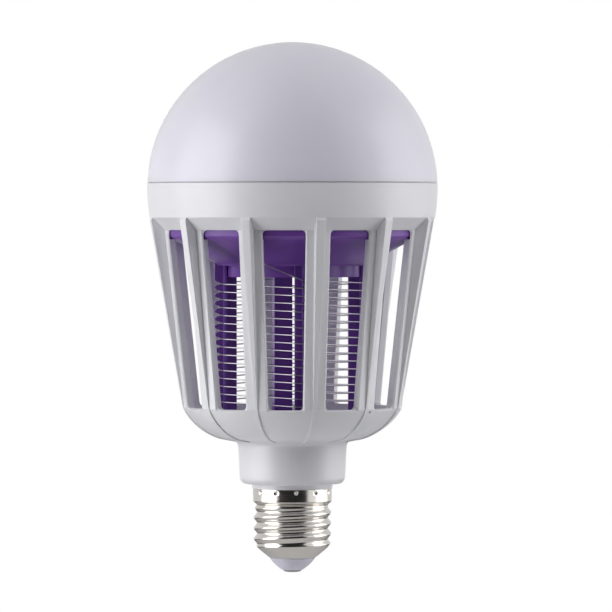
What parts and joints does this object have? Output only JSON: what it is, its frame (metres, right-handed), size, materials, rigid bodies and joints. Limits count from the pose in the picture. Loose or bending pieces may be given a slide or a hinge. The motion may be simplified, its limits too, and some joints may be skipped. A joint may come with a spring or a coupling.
{
  "type": "insect killer light bulb",
  "caption": "Screw-cap bulb with a milky dome, a ring, and a ribbed white cage round a violet frame that carries an electric wire grid over a catch bowl.",
  "frame": {"origin": "tip of the centre contact of the screw cap, on the bulb's axis", "axes": "+Z along the axis from the cap to the dome; -Y towards the viewer of the picture, +X to the right"},
  "size_m": [0.0984, 0.0984, 0.1796],
  "materials": {
    "dome_milk": "milky translucent, satin outside",
    "white_plastic": "satin moulded",
    "violet_plastic": "glossy moulded",
    "wire_steel": "drawn wire, bright",
    "cap_nickel": "nickel plated",
    "cap_plastic": "moulded, pale lavender",
    "contact_metal": "tinned",
    "plate_white": "white solder mask",
    "lamp_phosphor": "phosphor",
    "screw_steel": "zinc plated",
    "board_green": "green solder mask",
    "can_blue": "sleeved can",
    "film_red": "dipped",
    "part_black": "moulded epoxy",
    "ceramic_blue": "dipped ceramic",
    "resistor_tan": "lacquered",
    "uv_lens": "clear violet",
    "lead_grey": "insulated wire",
    "lead_brown": "insulated wire",
    "lead_blue": "insulated wire"
  },
  "bodies": {
    "root": {"diffuser_dome": "dome_milk", "cage_body": "white_plastic", "trap_frame": "violet_plastic", "grid_wire_live": "wire_steel", "grid_wire_return": "wire_steel", "screw_shell": "cap_nickel", "cap_insulator": "cap_plastic", "centre_contact": "contact_metal", "led_plate": "plate_white", "white_leds": "lamp_phosphor", "plate_screws": "screw_steel", "driver_board": "board_green", "board_screws": "screw_steel", "electrolytic_capacitor": "can_blue", "film_capacitors": "film_red", "bridge_rectifier": "part_black", "filter_choke": "part_black", "driver_chip": "part_black", "hv_capacitors": "ceramic_blue", "hv_diodes": "part_black", "bleed_resistors": "resistor_tan", "uv_board": "plate_white", "uv_leds": "uv_lens", "uv_leads": "lead_grey", "lamp_leads": "lead_grey", "live_lead": "lead_brown", "neutral_lead": "lead_blue", "fusible_resistor": "resistor_tan", "foot_screws": "screw_steel"}
  },
  "joints": []
}
